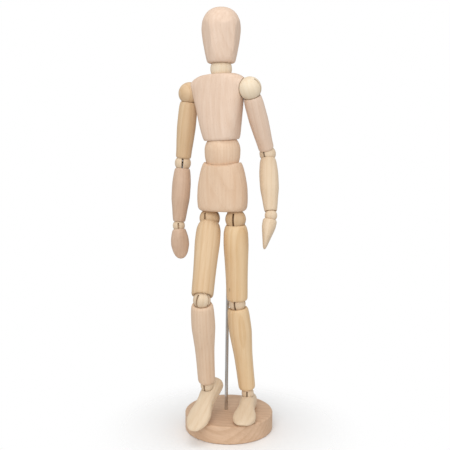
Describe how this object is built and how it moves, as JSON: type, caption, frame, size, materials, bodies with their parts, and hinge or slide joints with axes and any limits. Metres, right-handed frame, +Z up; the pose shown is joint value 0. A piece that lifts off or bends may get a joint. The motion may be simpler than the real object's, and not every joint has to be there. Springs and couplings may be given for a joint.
{
  "type": "artist mannequin",
  "caption": "Jointed wooden lay figure standing on a round wooden base with a thin steel support rod, with ball joints at neck, waist, shoulders, elbows, wrists, hips, knees and ankles.",
  "frame": {"origin": "centre of the flat underside of the round base", "axes": "+Z up along the standing figure, the pelvis faces -Y, the figure's left side is +X"},
  "size_m": [0.105, 0.1027, 0.4054],
  "materials": {
    "pink_wood": "sanded, unvarnished",
    "yellow_wood": "sanded, unvarnished",
    "pale_wood": "sanded, unvarnished",
    "base_wood": "sanded, unvarnished",
    "polished_steel": "polished",
    "steel_wire": "drawn wire"
  },
  "bodies": {
    "stand": {"base": "base_wood", "support_rod": "polished_steel"},
    "pelvis": {"pelvis": "pink_wood"},
    "waist": {"waist": "pink_wood", "spine_spring": "steel_wire"},
    "torso": {"torso": "pink_wood", "chest_spring": "steel_wire"},
    "neck": {"neck": "yellow_wood"},
    "head": {"head": "pink_wood"},
    "right_shoulder_ball": {"right_shoulder_ball": "yellow_wood", "right_shoulder_pin": "steel_wire"},
    "right_upper_arm": {"right_upper_arm": "yellow_wood", "right_upper_arm_spring": "steel_wire"},
    "right_elbow_ball": {"right_elbow_ball": "pale_wood", "right_elbow_pin": "steel_wire"},
    "right_forearm": {"right_forearm": "pink_wood", "right_forearm_spring": "steel_wire"},
    "right_wrist_ball": {"right_wrist_ball": "pale_wood", "right_wrist_pin": "steel_wire"},
    "right_hand": {"right_hand": "pink_wood"},
    "right_hip_ball": {"right_hip_ball": "yellow_wood", "right_hip_pin": "steel_wire"},
    "right_thigh": {"right_thigh": "yellow_wood", "right_thigh_spring": "steel_wire"},
    "right_knee_ball": {"right_knee_ball": "pale_wood", "right_knee_pin": "steel_wire"},
    "right_shin": {"right_shin": "pink_wood", "right_shin_spring": "steel_wire"},
    "right_ankle_ball": {"right_ankle_ball": "pale_wood", "right_ankle_pin": "steel_wire"},
    "right_foot": {"right_foot": "pale_wood"},
    "left_shoulder_ball": {"left_shoulder_ball": "yellow_wood", "left_shoulder_pin": "steel_wire"},
    "left_upper_arm": {"left_upper_arm": "pink_wood", "left_upper_arm_spring": "steel_wire"},
    "left_elbow_ball": {"left_elbow_ball": "pale_wood", "left_elbow_pin": "steel_wire"},
    "left_forearm": {"left_forearm": "pale_wood", "left_forearm_spring": "steel_wire"},
    "left_wrist_ball": {"left_wrist_ball": "pale_wood", "left_wrist_pin": "steel_wire"},
    "left_hand": {"left_hand": "pale_wood"},
    "left_hip_ball": {"left_hip_ball": "yellow_wood", "left_hip_pin": "steel_wire"},
    "left_thigh": {"left_thigh": "yellow_wood", "left_thigh_spring": "steel_wire"},
    "left_knee_ball": {"left_knee_ball": "pale_wood", "left_knee_pin": "steel_wire"},
    "left_shin": {"left_shin": "yellow_wood", "left_shin_spring": "steel_wire"},
    "left_ankle_ball": {"left_ankle_ball": "pale_wood", "left_ankle_pin": "steel_wire"},
    "left_foot": {"left_foot": "pale_wood"}
  },
  "joints": [
    {"name": "figure_turn", "type": "hinge", "parent": "stand", "child": "pelvis", "pos_m": [-0.0034, 0.0008, 0], "axis": [0.0115, 0.0042, 0.9999], "range_deg": [-75, 0]},
    {"name": "waist_turn", "type": "hinge", "parent": "pelvis", "child": "waist", "pos_m": [-0.0033, -0.009, 0.2732], "axis": [0, 0, 1], "range_deg": [-35, 35]},
    {"name": "torso_bend", "type": "hinge", "parent": "waist", "child": "torso", "pos_m": [-0.0033, -0.009, 0.2742], "axis": [0.9922, -0.1148, 0.0488], "range_deg": [-10, 18]},
    {"name": "neck_turn", "type": "hinge", "parent": "torso", "child": "neck", "pos_m": [-0.0044, -0.0096, 0.3494], "axis": [0, 0, 1], "range_deg": [-60, 60]},
    {"name": "head_nod", "type": "hinge", "parent": "neck", "child": "head", "pos_m": [-0.0044, -0.0096, 0.3494], "axis": [0.9135, 0.4067, 0], "range_deg": [-15, 20]},
    {"name": "right_shoulder_swing", "type": "hinge", "parent": "torso", "child": "right_shoulder_ball", "pos_m": [-0.03742, -0.0067, 0.32777], "axis": [0.9922, -0.1148, 0.0488], "range_deg": [-95, 40]},
    {"name": "right_arm_lift", "type": "hinge", "parent": "right_shoulder_ball", "child": "right_upper_arm", "pos_m": [-0.03742, -0.0067, 0.32777], "axis": [0.1148, 0.9934, 0.0035], "range_deg": [-3, 60]},
    {"name": "right_elbow_twist", "type": "hinge", "parent": "right_upper_arm", "child": "right_elbow_ball", "pos_m": [-0.04546, -0.00554, 0.26167], "axis": [0.1207, -0.0174, 0.9925], "range_deg": [-60, 60]},
    {"name": "right_elbow_bend", "type": "hinge", "parent": "right_elbow_ball", "child": "right_forearm", "pos_m": [-0.04546, -0.00554, 0.26167], "axis": [0.9371, 0.3423, -0.0675], "range_deg": [-45, 5]},
    {"name": "right_wrist_twist", "type": "hinge", "parent": "right_forearm", "child": "right_wrist_ball", "pos_m": [-0.04759, -0.01159, 0.20141], "axis": [0.0352, 0.0998, 0.9944], "range_deg": [-60, 60]},
    {"name": "right_wrist_bend", "type": "hinge", "parent": "right_wrist_ball", "child": "right_hand", "pos_m": [-0.04759, -0.01159, 0.20141], "axis": [0.9329, 0.3529, 0.0716], "range_deg": [-40, 40]},
    {"name": "right_hip_spread", "type": "hinge", "parent": "pelvis", "child": "right_hip_ball", "pos_m": [-0.0164, -0.009, 0.2096], "axis": [0, 1, 0], "range_deg": [0, 25]},
    {"name": "right_hip_swing", "type": "hinge", "parent": "right_hip_ball", "child": "right_thigh", "pos_m": [-0.0164, -0.009, 0.2096], "axis": [0.9782, -0.1028, 0.1805], "range_deg": [-38, 0]},
    {"name": "right_knee_twist", "type": "hinge", "parent": "right_thigh", "child": "right_knee_ball", "pos_m": [-0.00791, -0.05127, 0.1395], "axis": [-0.1032, 0.5136, 0.8518], "range_deg": [-6, 12]},
    {"name": "right_knee_bend", "type": "hinge", "parent": "right_knee_ball", "child": "right_shin", "pos_m": [-0.00791, -0.05127, 0.1395], "axis": [-0.9565, 0.2684, 0.1142], "range_deg": [0, 40]},
    {"name": "right_ankle_twist", "type": "hinge", "parent": "right_shin", "child": "right_ankle_ball", "pos_m": [-0.01214, -0.02864, 0.05084], "axis": [0.0462, -0.2471, 0.9679], "range_deg": [-15, 15]},
    {"name": "right_ankle_bend", "type": "hinge", "parent": "right_ankle_ball", "child": "right_foot", "pos_m": [-0.01214, -0.02864, 0.05084], "axis": [0.9945, -0.1045, 0], "range_deg": [-34, 0]},
    {"name": "left_shoulder_swing", "type": "hinge", "parent": "torso", "child": "left_shoulder_ball", "pos_m": [0.02509, -0.01393, 0.33085], "axis": [0.9922, -0.1148, 0.0488], "range_deg": [-110, 10]},
    {"name": "left_arm_lift", "type": "hinge", "parent": "left_shoulder_ball", "child": "left_upper_arm", "pos_m": [0.02509, -0.01393, 0.33085], "axis": [-0.0835, -0.9019, -0.4237], "range_deg": [-1.5, 60]},
    {"name": "left_elbow_twist", "type": "hinge", "parent": "left_upper_arm", "child": "left_elbow_ball", "pos_m": [0.03425, 0.01342, 0.27082], "axis": [0.1376, 0.4107, -0.9013], "range_deg": [-60, 12]},
    {"name": "left_elbow_bend", "type": "hinge", "parent": "left_elbow_ball", "child": "left_forearm", "pos_m": [0.03425, 0.01342, 0.27082], "axis": [0.9553, -0.1935, 0.2236], "range_deg": [-10, 45]},
    {"name": "left_wrist_twist", "type": "hinge", "parent": "left_forearm", "child": "left_wrist_ball", "pos_m": [0.04362, -0.00587, 0.21414], "axis": [0.1545, -0.3182, -0.9353], "range_deg": [-60, 60]},
    {"name": "left_wrist_bend", "type": "hinge", "parent": "left_wrist_ball", "child": "left_hand", "pos_m": [0.04362, -0.00587, 0.21414], "axis": [0.2837, -0.9441, 0.1677], "range_deg": [-32, 40]},
    {"name": "left_hip_spread", "type": "hinge", "parent": "pelvis", "child": "left_hip_ball", "pos_m": [0.0098, -0.009, 0.2096], "axis": [0, -1, 0], "range_deg": [0, 25]},
    {"name": "left_hip_swing", "type": "hinge", "parent": "left_hip_ball", "child": "left_thigh", "pos_m": [0.0098, -0.009, 0.2096], "axis": [0.9975, 0.0698, 0.0105], "range_deg": [-38, 0]},
    {"name": "left_knee_twist", "type": "hinge", "parent": "left_thigh", "child": "left_knee_ball", "pos_m": [0.01042, -0.0055, 0.12738], "axis": [0.0075, 0.0425, -0.9991], "range_deg": [-12, 12]},
    {"name": "left_knee_bend", "type": "hinge", "parent": "left_knee_ball", "child": "left_shin", "pos_m": [0.01042, -0.0055, 0.12738], "axis": [-0.9958, 0.0035, -0.0911], "range_deg": [-47.5, 0]},
    {"name": "left_ankle_twist", "type": "hinge", "parent": "left_shin", "child": "left_ankle_ball", "pos_m": [0.01876, 0.00253, 0.03651], "axis": [0.0911, 0.0876, -0.992], "range_deg": [-12, 6]},
    {"name": "left_ankle_bend", "type": "hinge", "parent": "left_ankle_ball", "child": "left_foot", "pos_m": [0.01876, 0.00253, 0.03651], "axis": [0.9799, 0.1994, 0], "range_deg": [-9.5, 0]}
  ],
  "couplings": [
    {"joint": "left_knee_bend", "follows": "left_hip_swing", "ratio": 1.25},
    {"joint": "left_ankle_bend", "follows": "left_hip_swing", "ratio": 0.25}
  ]
}
